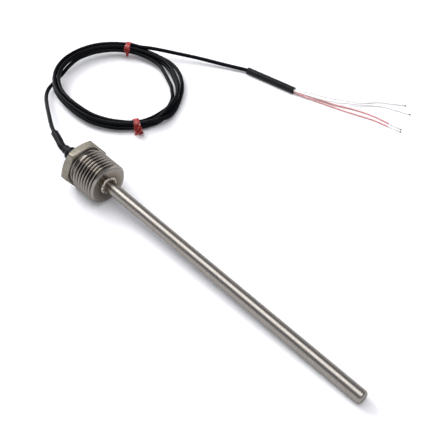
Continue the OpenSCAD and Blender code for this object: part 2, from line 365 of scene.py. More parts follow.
def shadeWith(tree, shader, tone, rough, height, strength, distance):
    # the colour, the roughness and the fine bumps, the last with their depth in metres
    bump = addNode(tree, "ShaderNodeBump", {
        "Height": height, "Strength": strength, "Distance": distance}).outputs[0]
    for key, value in (("Base Color", tone), ("Roughness", rough), ("Normal", bump)):
        tree.links.new(value, shader.inputs[key])


def makeSheathSteel():
    tree, shader = newMaterial("groundSteel", metal)
    marks, patches = marksOn(tree, 5200.0), wearOn(tree, 130.0)["Patches"]
    shade, along = marks["Shade"], marks["Along"]
    tone = mixColour(tree, mathNode(tree, "MULTIPLY", shade, 0.8), steel["bright"], steel["dull"])
    tone = mixColour(tree, mathNode(tree, "MULTIPLY", patches, 0.25), tone, steel["dull"])
    # heat tint that fades along the first millimetres in front of the weld
    tone = mixColour(tree, rangeNode(tree, along, *stainsAndShade["sheathStraw"]), tone, steel["straw"])
    tone = mixColour(tree, rangeNode(tree, along, *stainsAndShade["sheathBrown"]), tone, steel["brown"])
    rough = rangeNode(tree, shade, 0.3, 0.7, 0.2, 0.28)
    rough = mathNode(tree, "ADD", rough, mathNode(tree, "MULTIPLY", patches, 0.05))
    shadeWith(tree, shader, tone, rough, marks["Height"], 0.35, 0.00003)


def makeTurnedSteel():
    tree, shader = newMaterial("turnedSteel", metal)
    marks = marksOn(tree, 7000.0)
    along, radius = marks["Along"], marks["Radius"]
    tone = mixColour(tree, marks["Shade"], steel["bright"], steel["dull"])
    # painted shade darkens the roots of the thread, standing in for the shade in its grooves, with some
    # cutting residue
    inThread = mathNode(tree, "MULTIPLY", rangeNode(tree, along, *stainsAndShade["threadFront"]),
        rangeNode(tree, along, *stainsAndShade["threadBack"]))
    root = mathNode(tree, "MULTIPLY", rangeNode(tree, radius, *stainsAndShade["threadRoot"]), inThread)
    tone = mixColour(tree, root, tone, steel["rootShadeAndResidue"])
    # the front face is tinted by the heat of the weld, most strongly beside it
    face = rangeNode(tree, along, *stainsAndShade["frontFace"])
    near = mathNode(tree, "MULTIPLY", face, rangeNode(tree, radius, *stainsAndShade["faceBrown"]))
    tone = mixColour(tree, near, tone, steel["brown"])
    straw = mathNode(tree, "MULTIPLY", face, rangeNode(tree, radius, *stainsAndShade["faceStraw"]))
    straw = mathNode(tree, "MULTIPLY", straw, rangeNode(tree, radius, *stainsAndShade["faceStrawInside"]))
    tone = mixColour(tree, straw, tone, steel["straw"])
    rough = rangeNode(tree, wearOn(tree, 320.0)["Patches"], 0.0, 1.0, 0.13, 0.23)
    shadeWith(tree, shader, tone, rough, marks["Height"], 0.5, 0.00004)


def makeFlatSteel():
    # the hexagon keeps the skin of the drawn bar: long faint lines and a duller, warmer tone
    tree, shader = newMaterial("drawnBarSteel", metal)
    lines = addNode(tree, "ShaderNodeMapping", {
        "Vector": probeVector(tree), "Scale": (5200.0, 5200.0, 260.0)})
    streak = noiseNode(tree, lines.outputs[0], 1.0, 4.0, 0.65)
    wear = wearOn(tree, 260.0, 1900.0)
    patches = wear["Patches"]
    tone = mixColour(tree, rangeNode(tree, streak, 0.36, 0.64), steel["flat"], steel["flatDull"])
    tone = mixColour(tree, mathNode(tree, "MULTIPLY", patches, 0.45), tone, steel["flatDull"])
    rough = rangeNode(tree, patches, 0.0, 1.0, 0.27, 0.4)
    rough = mathNode(tree, "SUBTRACT", rough, mathNode(tree, "MULTIPLY", wear["Specks"], 0.08))
    shadeWith(tree, shader, tone, rough, streak, 0.6, 0.00005)


def makeWeldSteel():
    tree, shader = newMaterial("weldSteel", metal)
    patches = wearOn(tree, 900.0, 3800.0)["Patches"]
    tone = mixColour(tree, rangeNode(tree, patches, 0.4, 0.8), steel["weldBright"], steel["brown"])
    rough = rangeNode(tree, patches, 0.0, 1.0, 0.18, 0.36)
    shadeWith(tree, shader, tone, rough, grainOn(tree, 2600.0, 1200.0)["Height"], 0.5, 0.00008)


def makePlastic(name, light, dark, rough, grain, wave, bump, specular=0.5):
    tree, shader = newMaterial(name, {"Specular IOR Level": specular})
    skin, wear = grainOn(tree, grain, wave), wearOn(tree, wave * 1.3)
    tone = mixColour(tree, rangeNode(tree, skin["Tone"], 0.35, 0.65), light, dark)
    speckTone = tuple(min(1.0, c * 1.5 + 0.01) for c in light[:3]) + (1,)
    tone = mixColour(tree, mathNode(tree, "MULTIPLY", wear["Specks"], 0.25), tone, speckTone)
    rough = rangeNode(tree, wear["Patches"], 0.0, 1.0, *rough)
    shadeWith(tree, shader, tone, rough, skin["Height"], bump, 0.00006)


def makeMetalWire(name, light, dark, rough):
    tree, shader = newMaterial(name, metal)
    patches = wearOn(tree, 1500.0, 6000.0)["Patches"]
    rough = rangeNode(tree, patches, 0.0, 1.0, rough - 0.08, rough + 0.1)
    grain = grainOn(tree, 5200.0, 1600.0)["Height"]
    shadeWith(tree, shader, mixColour(tree, patches, light, dark), rough, grain, 0.3, 0.00004)


plastics = {
    "shrunkTube": {
        "light": (0.0075, 0.0078, 0.0095, 1), "dark": (0.0045, 0.0048, 0.006, 1),
        "rough": (0.38, 0.52), "grain": 2400.0, "wave": 420.0, "bump": 0.35, "specular": 0.14},
    "bootTube": {
        "light": (0.0038, 0.0042, 0.006, 1), "dark": (0.0022, 0.0025, 0.0036, 1),
        "rough": (0.34, 0.48), "grain": 2400.0, "wave": 420.0, "bump": 0.25, "specular": 0.07},
    "cableJacket": {
        "light": (0.0026, 0.0028, 0.0044, 1), "dark": (0.0015, 0.0017, 0.0027, 1),
        "rough": (0.27, 0.38), "grain": 2600.0, "wave": 300.0, "bump": 0.12, "specular": 0.06},
    "tieFilm": {
        "light": (0.44, 0.052, 0.044, 1), "dark": (0.17, 0.012, 0.012, 1),
        "rough": (0.22, 0.36), "grain": 2200.0, "wave": 620.0, "bump": 0.4},
    "redInsulation": {
        "light": (0.72, 0.34, 0.33, 1), "dark": (0.62, 0.26, 0.26, 1),
        "rough": (0.34, 0.46), "grain": 3600.0, "wave": 500.0, "bump": 0.15},
    "whiteInsulation": {
        "light": (0.93, 0.92, 0.905, 1), "dark": (0.87, 0.86, 0.85, 1),
        "rough": (0.36, 0.5), "grain": 3600.0, "wave": 500.0, "bump": 0.15},
    "ceramicBody": {
        "light": (0.86, 0.85, 0.81, 1), "dark": (0.76, 0.74, 0.70, 1),
        "rough": (0.25, 0.45), "grain": 4200.0, "wave": 900.0, "bump": 0.25},
    "amberFilm": {
        "light": (0.70, 0.42, 0.13, 1), "dark": (0.58, 0.31, 0.07, 1),
        "rough": (0.16, 0.3), "grain": 2600.0, "wave": 520.0, "bump": 0.2},
    "packedPowder": {
        "light": (0.88, 0.86, 0.82, 1), "dark": (0.70, 0.68, 0.64, 1),
        "rough": (0.75, 0.95), "grain": 5200.0, "wave": 1200.0, "bump": 0.8},
    "heatPaste": {
        "light": (0.74, 0.75, 0.76, 1), "dark": (0.60, 0.61, 0.62, 1),
        "rough": (0.3, 0.5), "grain": 2500.0, "wave": 600.0, "bump": 0.4},
    "sealingResin": {
        "light": (0.035, 0.03, 0.025, 1), "dark": (0.02, 0.018, 0.015, 1),
        "rough": (0.12, 0.3), "grain": 2200.0, "wave": 420.0, "bump": 0.2},
}
wireMetals = {
    "tinnedCopper": {"light": (0.95, 0.94, 0.93, 1), "dark": (0.84, 0.83, 0.82, 1), "rough": 0.5},
    "solderBead": {"light": (0.17, 0.17, 0.18, 1), "dark": (0.08, 0.08, 0.08, 1), "rough": 0.36},
    "crimpedSplice": {"light": (0.66, 0.65, 0.62, 1), "dark": (0.42, 0.40, 0.37, 1), "rough": 0.36},
    "sensorLead": {"light": (0.76, 0.75, 0.74, 1), "dark": (0.56, 0.55, 0.53, 1), "rough": 0.26},
}
makeSheathSteel()
makeTurnedSteel()
makeFlatSteel()
makeWeldSteel()
for name, values in plastics.items():
    makePlastic(name, **values)
for name, values in wireMetals.items():
    makeMetalWire(name, **values)
print("materials ready")


# Camera, in the place from which the object is seen at rest
cameraData = bpy.data.cameras.new("stillCamera")
cameraData.lens = 56.27
camera = bpy.data.objects.new("stillCamera", cameraData)
camera.location = (0.1383947, -0.1242569, 0.2444526)
camera.rotation_euler = Vector((-0.46035818, 0.46803125, -0.75433222)).to_track_quat("-Z", "Y").to_euler()
bpy.context.collection.objects.link(camera)
bpy.context.scene.camera = camera


# The cable, one length from the rear of the probe to the sleeve on its far end
cable = {
    "diameter": 2.1, "endRadius": 28.6, "endSpacing": 14.0, "centre": (-120.4, 56.3),
    "lift": 4.64, "turnDeg": 5.0, "slopeDeg": 2.5, "startDeg": 29.0, "stepsPerTurn": 40,
    "insideProbe": (-24.5, -29.0, -34.2),
    "sleeveRoute": [(-98.2, 1.5, 12.1), (-101.3, 2.5, 12.0), (-104.4, 3.4, 11.9)],
    "leadRoute": [
        (-109.3, 5.3, 11.3), (-114.6, 7.9, 10.4), (-120.2, 10.9, 9.2), (-126.2, 14.1, 7.8),
        (-132.6, 17.7, 6.2), (-138.8, 21.5, 4.7), (-143.2, 25.0, 3.6), (-146.5, 28.8, 2.9),
        (-148.4, 32.9, 2.6)],
    "underBundle": [(13, 0.2, -3.1), (17.8, -1.6, -2.6), (23, -2.2, -1.6)],
    "runRoute": [
        (-136, 86.3, 6.4), (-131, 89.8, 6.2), (-126, 93.2, 5.7), (-121, 96.6, 5),
        (-116, 99.8, 4.4), (-111, 103, 3.8), (-106, 105.9, 3.3), (-100.5, 108.8, 2.8),
        (-95, 111.5, 2.4), (-89.5, 114.2, 2.1), (-84.3, 116.6, 1.95)],
}
ringLength = math.tau * cable["endRadius"] + 2 * cable["endSpacing"]

# where each turn lies in the bundle: distance round the coil, then aside and up from its middle
low, high = -0.91, 0.92
turnPlaces = [
    [(31, -2.12, low), (66, -2.12, low), (84, -2.12, low), (97, -3.2, low), (112, -3.2, low),
     (121, -2.0, low), (130, -1.15, low), (134, -1.6, low), (138, -2.1, low), (150, -2.12, low),
     (160, -2.12, low), (184, -1.06, high), (200, -1.45, 1.12), (208, -1.45, 1.12)],
    [(0, -1.45, 1.12), (6, -1.45, 1.12), (34, -1.06, high), (68, -1.06, high), (90, 0.5, 1.13),
     (120, 0.5, 1.13), (130, 0.35, 1.02), (134, 0.5, 0.78), (138, 0.35, 0.15), (144, 0, low), (184, 0, low),
     (200, -1.06, low), (208, -1.06, low)],
    [(0, -1.06, low), (6, -1.06, low), (26, -0.1, low), (34, 0, low), (68, 0, low), (90, 0, low),
     (117, -0.1, low), (130, 1.08, low), (134, 1.6, low), (138, 2.12, low), (184, 2.12, low),
     (200, 1.06, low), (208, 1.06, low)],
    [(0, 1.06, low), (6, 1.06, low), (26, 2.05, low), (34, 2.12, low), (66, 2.12, low), (76, 2.5, low),
     (86, 3.2, low), (92, 3.5, low), (102, 3.5, low), (112, 2.6, low), (118, 2.2, low),
     (124, 2.65, low), (130, 3.22, low), (134, 3.5, -0.5), (138, 3.25, 0.7), (144, 2.0, 1.21),
     (152, 1.06, high), (184, 1.06, high), (200, 0.8, 1.12), (208, 0.8, 1.12)],
    [(0, 0.8, 1.12), (8, 0.8, 1.12), (24, 1.06, high), (50, 1.06, high), (60, 1.2, 1.0),
     (66, 1.6, 1.2)],
]
bundleDrift = [
    (0, 0), (10, 0.3), (20, 0.6), (34, 0.5), (46, 0.6), (58, 0.8), (70, 1.5), (79, 2.4),
    (86, 2.2), (93, 1.1), (99, 0), (105, -0.7), (111, -0.6), (118, -0.6), (124, -0.8),
    (130, -0.7), (136, -0.3), (141, 0.1), (149, 0), (160, -0.9), (166, -0.9), (172, -0.6),
    (178, 0), (184, 0.3), (192, 0.2), (200, -0.1)]
bundleSpread = [
    (0, 1.05), (14, 1.05), (30, 1.3), (46, 1.35), (60, 1.12), (68, 1.06), (84, 1.03), (96, 1.2),
    (104, 1.1), (112, 1), (122, 0.97), (138, 1.1), (147, 1.03), (154, 1.03), (162, 1.2),
    (172, 1.2), (182, 1.1), (198, 1.05)]


def onRing(along, aside, up):
    # a point of the coil, in metres; along starts at the far side of its left end
    radius, spacing = cable["endRadius"], cable["endSpacing"]
    arc = math.pi * radius
    reach = radius + aside
    at = (along + math.radians(cable["startDeg"]) * radius) % ringLength
    if at < arc:
        angle = math.radians(270) - at / radius
        x, y = -spacing / 2 + reach * math.cos(angle), reach * math.sin(angle)
    elif at < arc + spacing:
        x, y = at - arc - spacing / 2, reach
    elif at < 2 * arc + spacing:
        angle = math.radians(90) - (at - arc - spacing) / radius
        x, y = spacing / 2 + reach * math.cos(angle), reach * math.sin(angle)
    else:
        x, y = spacing / 2 - (at - 2 * arc - spacing), -reach
    turn = Matrix.Rotation(math.radians(cable["turnDeg"]), 4, "Z")
    slope = Matrix.Rotation(math.radians(cable["slopeDeg"]), 4, "Y")
    place = Vector((*cable["centre"], cable["lift"]))
    return (place + turn @ slope @ Vector((x, y, up))) * mm


def eased(keys, at):
    # smooth values between keys, without overshoot
    spots = [key[0] for key in keys]
    values = [Vector(key[1:]) if len(key) == 3 else Vector((key[1], 0)) for key in keys]
    if at <= spots[0] or at >= spots[-1]:
        return values[0] if at <= spots[0] else values[-1]
    i = max(n for n in range(len(spots) - 1) if spots[n] <= at)

    def slopeAt(n):
        if n == 0 or n == len(spots) - 1:
            return Vector((0, 0))
        before = (values[n] - values[n - 1]) / (spots[n] - spots[n - 1])
        after = (values[n + 1] - values[n]) / (spots[n + 1] - spots[n])
        return Vector([0 if a * b <= 0 else 2 * a * b / (a + b) for a, b in zip(before, after)])

    gap = spots[i + 1] - spots[i]
    q = (at - spots[i]) / gap
    return ((2 * q ** 3 - 3 * q * q + 1) * values[i] + (q ** 3 - 2 * q * q + q) * gap * slopeAt(i)
            + (3 * q * q - 2 * q ** 3) * values[i + 1] + (q ** 3 - q * q) * gap * slopeAt(i + 1))


def eachTurn(keys, at):
    first, last = keys[0], keys[-1]
    keys = [(last[0] - ringLength, last[1])] + keys + [(first[0] + ringLength, first[1])]
    return eased(keys, at % ringLength)[0]


def inBundle(along, aside, up):
    return onRing(along, aside * eachTurn(bundleSpread, along) + eachTurn(bundleDrift, along), up)


# The sleeve on the far end of the cable, and the four wires that leave it
junction = {
    "start": (-79.5, 118.5, 1.9), "turnDeg": 8.5, "length": 31.0, "radius": 1.9, "hollow": 1.2,
    "wall": 0.7, "dent": 0.06, "cableInside": 18.0,
    "lay": 0.42, "wireDiameter": 0.8, "bareDiameter": 0.5, "bareLength": 8.0, "beadDiameter": 0.8,
}
wires = {
    "RedA": {"node": "red_a", "colour": "red", "aside": 1, "up": -1, "route": [
        (-44.3, 124.7, 1.3), (-39.8, 126.4, 1.1), (-34.5, 128, 0.9), (-28.3, 129.6, 0.8),
        (-23.3, 131.7, 0.7), (-18.3, 134.1, 0.5), (-12.5, 136.2, 0.4), (-5, 138, 0.4),
        (4, 138.8, 0.4)]},
    "RedB": {"node": "red_b", "colour": "red", "aside": -1, "up": -1, "route": [
        (-43.4, 123.6, 1.3), (-38.9, 125, 0.9), (-33.4, 126.5, 0.6), (-27.5, 128, 0.45),
        (-21.9, 129.6, 0.4), (-16.1, 131.3, 0.4), (-10.7, 133.1, 0.4), (-3, 135.4, 0.4),
        (5, 136.6, 0.4)]},
    "WhiteA": {"node": "white_a", "colour": "white", "aside": 1, "up": 1, "route": [
        (-44.8, 125.2, 2.4), (-40.3, 127.4, 2.5), (-35.3, 129.4, 2.3), (-30.4, 131.9, 2),
        (-26, 134.9, 1.6), (-21.5, 138.1, 1.2), (-17.2, 141.4, 0.8), (-14, 145.3, 0.5),
        (-10.5, 149.4, 0.4), (-4.4, 153.4, 0.4)]},
    "WhiteB": {"node": "white_b", "colour": "white", "aside": -1, "up": 1, "route": [
        (-43.6, 124.2, 2.3), (-39, 125.6, 2.3), (-32.8, 127.8, 2.3), (-26.4, 131.1, 2.1),
        (-20.2, 136.2, 1.5), (-15.8, 140.1, 1), (-11.2, 144.6, 0.6), (-6.2, 148.2, 0.4),
        (0.8, 150.6, 0.4)]},
}


def inJunction(along, aside=0.0, up=0.0):
    turn = Matrix.Rotation(math.radians(junction["turnDeg"]), 4, "Z")
    return (Vector(junction["start"]) + turn @ Vector((along, aside, up))) * mm


def cablePoints():
    points = [onAxis(z) for z in cable["insideProbe"]]
    points += [Vector(p) * mm for p in cable["sleeveRoute"] + cable["leadRoute"]]
    points += [inBundle(*place) for place in cable["underBundle"]]
    for places in turnPlaces:
        begin = places[0][0]
        finish = min(places[-1][0], ringLength)
        count = round((finish - begin) * cable["stepsPerTurn"] / ringLength)
        for i in range(count + (places is turnPlaces[-1])):
            along = begin + (finish - begin) * i / count
            points.append(inBundle(along, *eased(places, along)))
    points += [Vector(p) * mm for p in cable["runRoute"]]
    return points + [inJunction(share * junction["cableInside"]) for share in (0, 0.5, 1)]


def addJacket(name, points, diameter, material, sides, resolution):
    obj = openCurve(name, points, diameter / 2 * mm, sides, resolution)
    dress(obj, material)
    return obj


probeCable = addJacket("probeCable", cablePoints(), cable["diameter"],
    finishes["cableJacket"], 8, 4)
print("cable laid out,", len(probeCable.data.splines[0].bezier_points), "points")


# Wires with their twisted and tinned ends
strands = {
    "outer": 6, "swell": 1.08, "spread": 1.92, "lay": 2.6, "turns": 3, "beadUneven": 0.02, "inWire": 0.3,
}


def addStrands(name, start, heading):
    # six fine strands twisted round a seventh, with a bead of solder on the last millimetre
    length, thin = junction["bareLength"], junction["bareDiameter"] / 6
    bpy.ops.mesh.primitive_circle_add(vertices=8, radius=thin * strands["swell"] * mm,
        rotation=(math.pi / 2, 0, 0), location=(thin * strands["spread"] * mm, 0, 0))
    helix = bpy.context.object
    applyPlace(helix)
    screwed(helix, strands["lay"], strands["turns"], 12)
    editAll(helix)
    bpy.ops.mesh.fill_holes(sides=0)
    endEdit()
    parts = [helix]
    for turn in range(1, strands["outer"]):
        copy = helix.copy()
        copy.data = helix.data.copy()
        bpy.context.collection.objects.link(copy)
        copy.rotation_euler.z = turn * math.tau / strands["outer"]
        parts.append(copy)
    bpy.ops.mesh.primitive_cylinder_add(vertices=8, radius=thin * mm, depth=length * mm,
        location=(0, 0, length / 2 * mm))
    parts.append(bpy.context.object)
    for part in parts:
        dress(part, finishes["tinnedCopper"])
    beadRadius = junction["beadDiameter"] / 2
    bpy.ops.mesh.primitive_uv_sphere_add(segments=20, ring_count=14, radius=beadRadius * mm,
        location=(0, 0, (length - beadRadius) * mm))
    bead = bpy.context.object
    applyPlace(bead)
    editAll(bead)
    bpy.ops.transform.vertex_random(offset=strands["beadUneven"] * mm, seed=len(name))
    endEdit()
    dress(bead, finishes["tinnedCopper"], finishes["solderBead"])
    for polygon in bead.data.polygons:
        polygon.material_index = 1
    bundle = joined(name, parts + [bead], bead)
    turn = heading.to_track_quat("Z", "Y").to_matrix().to_4x4()
    bundle.matrix_world = Matrix.Translation(start) @ turn @ bundle.matrix_world
    applyPlace(bundle)
    tidyMesh(bundle)
    smooth(bundle, 60)
    return bundle


wireCords, wireEnds = {}, {}
for name, wire in wires.items():
    aside, up = wire["aside"] * junction["lay"], wire["up"] * junction["lay"]
    first, last = junction["cableInside"], junction["length"]
    points = [inJunction(along, aside, up) for along in (first, (first + last) / 2, last)]
    points += [Vector(p) * mm for p in wire["route"]]
    wireCords[name] = addJacket("wire" + name, points, junction["wireDiameter"],
        finishes[wire["colour"] + "Insulation"], 6, 6)
    heading = (points[-1] - points[-2]).normalized()
    wireEnds[name] = addStrands("strands" + name, points[-1] - heading * strands["inWire"] * mm,
        heading)
print("wires and their bare ends ready")


# Hexagon head with its screw thread
head = {
    "hexCorner": 12.7017, "edgeRound": 0.6, "rearChamfer": (2.5, 1.55), "frontChamfer": (1.65, 0.85),
    "crestRadius": 10.4, "rootRadius": 9.239, "reliefRadius": 9.2, "pitch": 1.814,
    "leadRadius": 9.24, "leadLength": 1.2, "threadEnd": -14.2, "reliefStart": -14.805,
    "grooveFront": -2.258, "grooveTurns": 7.3, "cutterTurns": 10, "boreClearance": 0.02,
}


def makeHexagon():
    back, shoulder = probe["back"], probe["shoulder"]
    bpy.ops.mesh.primitive_cylinder_add(vertices=6, radius=head["hexCorner"] * mm,
        depth=(shoulder - back) * mm, location=(0, 0, (shoulder + back) / 2 * mm))
    hexagon = bpy.context.object
    applyPlace(hexagon)
    editAll(hexagon)
    bpy.ops.mesh.bevel(offset=head["edgeRound"] * mm, segments=4)
    endEdit()
    corner, rear, front = head["hexCorner"], head["rearChamfer"], head["frontChamfer"]
    chamfers = turned("chamferBody", [
        (0, back), (corner - rear[0] - 0.15, back), (corner - rear[0] + 0.1, back + 0.06),
        (corner, back + rear[1]), (corner + 0.5, back + rear[1] + 0.4),
        (corner + 0.5, shoulder - front[1] - 0.4), (corner, shoulder - front[1]),
        (corner - front[0] + 0.1, shoulder - 0.05), (corner - front[0] - 0.15, shoulder),
        (0, shoulder)], 144)
    boolean(hexagon, chamfers, "INTERSECT")
    return hexagon


def makeBlank():
    # the thread's bar with its bevelled lead, the plain groove and a root inside the hexagon
    shoulder, crest, relief = probe["shoulder"], head["crestRadius"], head["reliefRadius"]
    return turned("threadBlank", [
        (0, 0), (head["leadRadius"] - 0.12, 0), (head["leadRadius"], -0.08),
        (crest - 0.08, -head["leadLength"] + 0.05), (crest, -head["leadLength"] - 0.1),
        (crest, head["threadEnd"]), (relief, head["reliefStart"]),
        (relief, shoulder + 0.2), (relief + 0.35, shoulder - 0.1),
        (relief + 0.35, shoulder - 2.0), (0, shoulder - 2.0)], 144)


def makeGrooveCutter():
    # the closed section of the groove, screwed along the axis
    root, crest, pitch = head["rootRadius"], head["crestRadius"], head["pitch"]
    upper = [(root, 0.12), (root + 0.05, 0.19), (crest - 0.16, 0.665), (crest - 0.05, 0.735),
             (crest, 0.80), (crest + 0.2, 0.86)]
    section = [(root, -0.12)] + upper + [(radius, -z) for radius, z in upper[:0:-1]]
    cutter = drawOutline("grooveCutter", [Vector((radius * mm, 0, z * mm)) for radius, z in section])
    bpy.ops.mesh.select_all(action="SELECT")
    bpy.ops.mesh.edge_face_add()
    bpy.ops.mesh.delete(type="ONLY_FACE")
    endEdit()
    screwed(cutter, pitch, head["cutterTurns"], 72)
    editAll(cutter)
    bpy.ops.mesh.fill_holes(sides=0)
    bpy.ops.mesh.select_all(action="SELECT")
    bpy.ops.mesh.normals_make_consistent(inside=False)
    # the last turn runs out in the plain groove behind the thread
    bpy.ops.transform.translate(value=(0, 0, (head["grooveFront"] - head["grooveTurns"] * pitch) * mm))
    endEdit()
    return cutter


def makeHead():
    piece = makeHexagon()
    boolean(piece, makeBlank(), "UNION")
    boolean(piece, makeGrooveCutter(), "DIFFERENCE")
    bpy.ops.mesh.primitive_cylinder_add(vertices=96, depth=40 * mm, location=(0, 0, -10 * mm),
        radius=(probe["sheathRadius"] + head["boreClearance"]) * mm)
    bore = bpy.context.object
    applyPlace(bore)
    boolean(piece, bore, "DIFFERENCE")
    piece.name = "threadedHead"
    layOnAxis(piece)
    tidyMesh(piece, 0.000002)
    smooth(piece, 32)
    return piece


threadedHead = makeHead()
print("head ready,", len(threadedHead.data.polygons), "faces")


# Ground sheath, a closed tube with a rounded tip
def makeSheath():
    radius, length, rounding = probe["sheathRadius"], probe["sheathLength"], probe["tipRound"]
    bore, stubEnd, tipWall = radius - probe["sheathWall"], probe["stubEnd"], probe["tipWall"]
    tip = []
    for i in range(9):
        angle = math.pi / 2 * i / 8
        tip.append((radius - rounding * (1 - math.sin(angle)), length - rounding * (1 - math.cos(angle))))
    outside = [(0, length)] + tip + [(radius, 90), (radius, 30), (radius, 2), (radius, -10),
        (radius, stubEnd + 0.1), (radius - 0.1, stubEnd)]
    inside = [(bore, stubEnd), (bore, 0), (bore, length - tipWall - 0.4),
        (bore - 0.4, length - tipWall), (0, length - tipWall)]
    sheath = turned("groundSheath", outside + inside)
    layOnAxis(sheath)
    tidyMesh(sheath, 0.000002)
    smooth(sheath, 40)
    return sheath


groundSheath = makeSheath()


# Weld bead round the sheath, with the ripples of a hand weld
weld = {
    "middle": 3.45, "reach": 1.1, "height": 0.66, "rear": -0.2, "seed": 11,
    "ripples": 22, "rippleDepth": 0.17, "rippleHalf": 0.3, "rippleBow": 0.35,
}


def makeWeld():
    bpy.ops.mesh.primitive_torus_add(major_radius=weld["middle"] * mm, minor_radius=weld["reach"] * mm,
        major_segments=weld["ripples"] * 5, minor_segments=28)
    ring = bpy.context.object
    ring.name = "weldRing"
    stepAngle = math.tau / weld["ripples"]
    rnd = random.Random(weld["seed"])
    crests = [rnd.uniform(0.5, 1.0) for _ in range(weld["ripples"])]
    for number, crest in enumerate(crests):

        def inRipple(vertex):
            # each ripple bows forwards, as the weld pool froze
            around = math.atan2(vertex.co.y, vertex.co.x) % math.tau
            bow = weld["rippleBow"] * stepAngle * vertex.co.z / (weld["reach"] * mm)
            return abs((around + bow) / stepAngle - number) % weld["ripples"] < weld["rippleHalf"]

        editChosen(ring, "VERT", inRipple)
        bpy.ops.transform.shrink_fatten(value=weld["rippleDepth"] * crest * mm)
        endEdit()
    editAll(ring)
    bpy.ops.transform.resize(value=(1, 1, weld["height"]), center_override=(0, 0, 0))
    bpy.ops.mesh.bisect(plane_co=(0, 0, weld["rear"] * mm), plane_no=(0, 0, 1), clear_inner=True,
        use_fill=True)
    endEdit()
    layOnAxis(ring)
    tidyMesh(ring)
    smooth(ring, 50)
    return ring


weldRing = makeWeld()


# Shrunk boot behind the hexagon, the sleeve on the cable and the sleeve on its far end
boot = {"radius": 3.45, "endRadius": 2.34, "dent": 0.05, "dentSize": 3.2}


def dented(obj, depth, size):
    texture = bpy.data.textures.new(obj.name + "Dents", "CLOUDS")
    texture.noise_scale = size * mm
    texture.noise_depth = 1
    dents = obj.modifiers.new("dents", "DISPLACE")
    dents.texture = texture
    dents.texture_coords = "LOCAL"
    dents.mid_level = 0.5
    dents.strength = depth * 2 * mm
    applyAll(obj)


def makeBoot():
    back, stub, end = probe["back"], probe["stubEnd"], probe["bootEnd"]
    r, e = boot["radius"], boot["endRadius"]
    outside = [(r - 0.25, back - 0.01), (r + 0.02, back - 0.12), (r + 0.04, back - 0.5), (r, back - 1.1)]
    outside += [(r - 0.02, back - 1.1 - 0.45 * i) for i in range(1, 14)]
    outside += [(r - 0.03, stub + 0.2), (r - 0.12, stub - 0.15), (r - 0.4, stub - 0.5),
                (r - 0.85, stub - 0.95), (e + 0.06, stub - 1.5), (e - 0.08, stub - 2.3),
                (e - 0.12, end + 0.12), (e - 0.22, end)]
    inside = [(1.9, end), (1.88, end + 0.6), (2.0, stub - 0.3), (3.03, stub - 0.05), (3.03, back - 0.01)]
    piece = turned("shrunkBoot", outside + inside + [outside[0]], 96)
    tidyMesh(piece)
    dented(piece, boot["dent"], boot["dentSize"])
    layOnAxis(piece)
    tidyMesh(piece)
    smooth(piece, 45)
    return piece


shrunkBoot = makeBoot()


sleeve = {
    "inBoot": (-30.0, -32.6, -35.4), "radius": 1.85, "hollow": 1.4, "wall": 0.75, "dent": 0.04,
    "mouthRound": 0.18, "dentSize": 2.6,
}


def sleeveMesh(name, points, mouths, radius, hollow, wall, dent):
    # a curve made solid, with the mouth of each open end hollowed
    piece = openCurve(name, points, radius * mm, 14, 8)
    active(piece)
    bpy.ops.object.convert(target="MESH")
    piece = bpy.context.object
    tidyMesh(piece)
    for at, outward in mouths:
        editChosen(piece, "FACE", lambda polygon: len(polygon.vertices) > 4
            and (polygon.center - at).length < 1.5 * mm)
        bpy.ops.mesh.bevel(offset=sleeve["mouthRound"] * mm, segments=3)
        bpy.ops.mesh.inset(thickness=(wall - sleeve["mouthRound"]) * mm)
        extrudeBy(-outward * hollow * mm)
        endEdit()
    dented(piece, dent, sleeve["dentSize"])
    tidyMesh(piece)
    smooth(piece, 45)
    return piece


sleevePoints = [onAxis(z) for z in sleeve["inBoot"]] + [Vector(p) * mm for p in cable["sleeveRoute"]]
sleeveMouth = (sleevePoints[-1], (sleevePoints[-1] - sleevePoints[-2]).normalized())
strainSleeve = sleeveMesh("strainSleeve", sleevePoints, [sleeveMouth], sleeve["radius"],
    sleeve["hollow"], sleeve["wall"], sleeve["dent"])
junctionPoints = [inJunction(along) for along in (0, 5, 10, 15, 20, 25, junction["length"])]
alongJunction = (junctionPoints[-1] - junctionPoints[0]).normalized()
junctionMouths = [(junctionPoints[0], -alongJunction), (junctionPoints[-1], alongJunction)]
junctionSleeve = sleeveMesh("junctionSleeve", junctionPoints, junctionMouths, junction["radius"],
    junction["hollow"], junction["wall"], junction["dent"])
print("sheath, weld, boot and sleeves ready")


